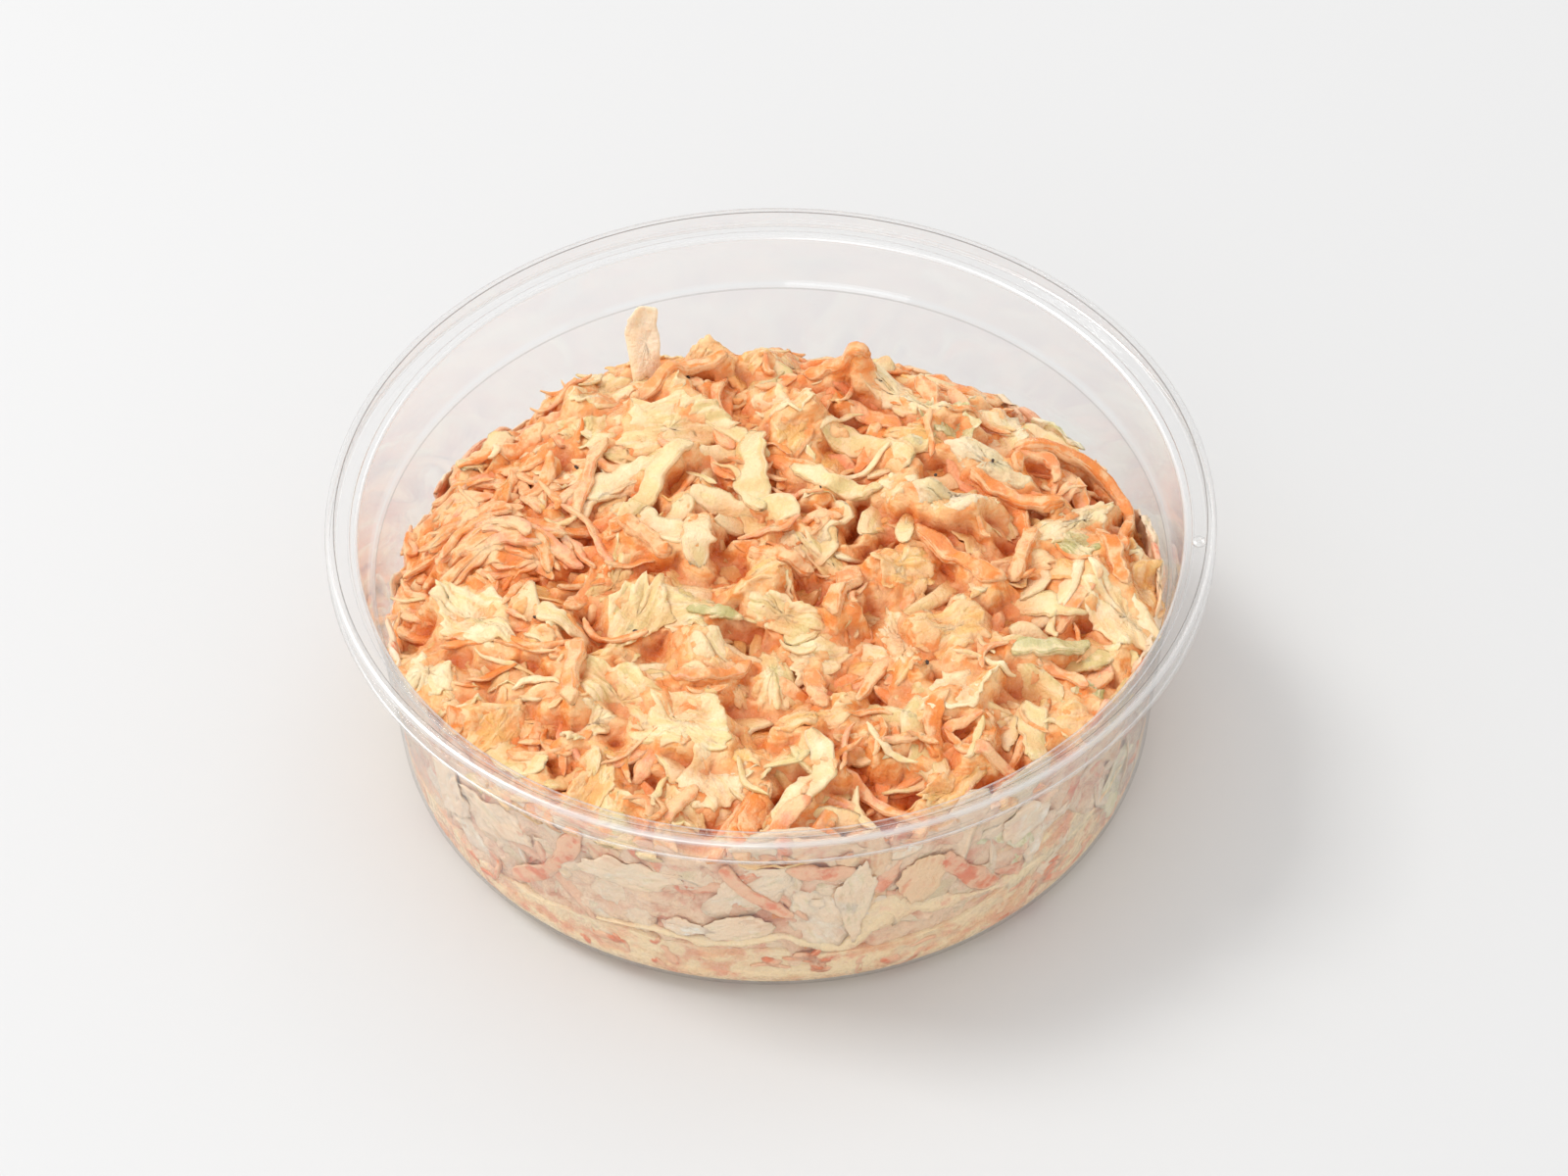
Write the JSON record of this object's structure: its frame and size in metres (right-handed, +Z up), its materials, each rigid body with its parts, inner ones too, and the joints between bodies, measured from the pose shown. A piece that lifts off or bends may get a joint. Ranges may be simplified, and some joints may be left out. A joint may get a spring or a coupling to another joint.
{
  "type": "coleslaw in a clear round cup",
  "caption": "Shredded carrot and cabbage in creamy dressing, mounded in a thin clear round deli cup with a flat lid seat and a rolled rim.",
  "frame": {"origin": "middle of the cup's flat base, on the surface that it stands on", "axes": "+Z up along the cup's axis, -Y towards the side where the salad stands highest against the wall"},
  "size_m": [0.118, 0.118, 0.0402],
  "materials": {
    "clear_plastic": "clear, thin, smooth thermoformed plastic",
    "creamy_dressing": "smooth, moist, slightly see-through mayonnaise dressing",
    "dressed_salad": "moist shreds of carrot and cabbage coated in dressing"
  },
  "bodies": {
    "root": {"cup": "clear_plastic", "dressing": "creamy_dressing", "coleslaw": "dressed_salad"}
  },
  "joints": []
}
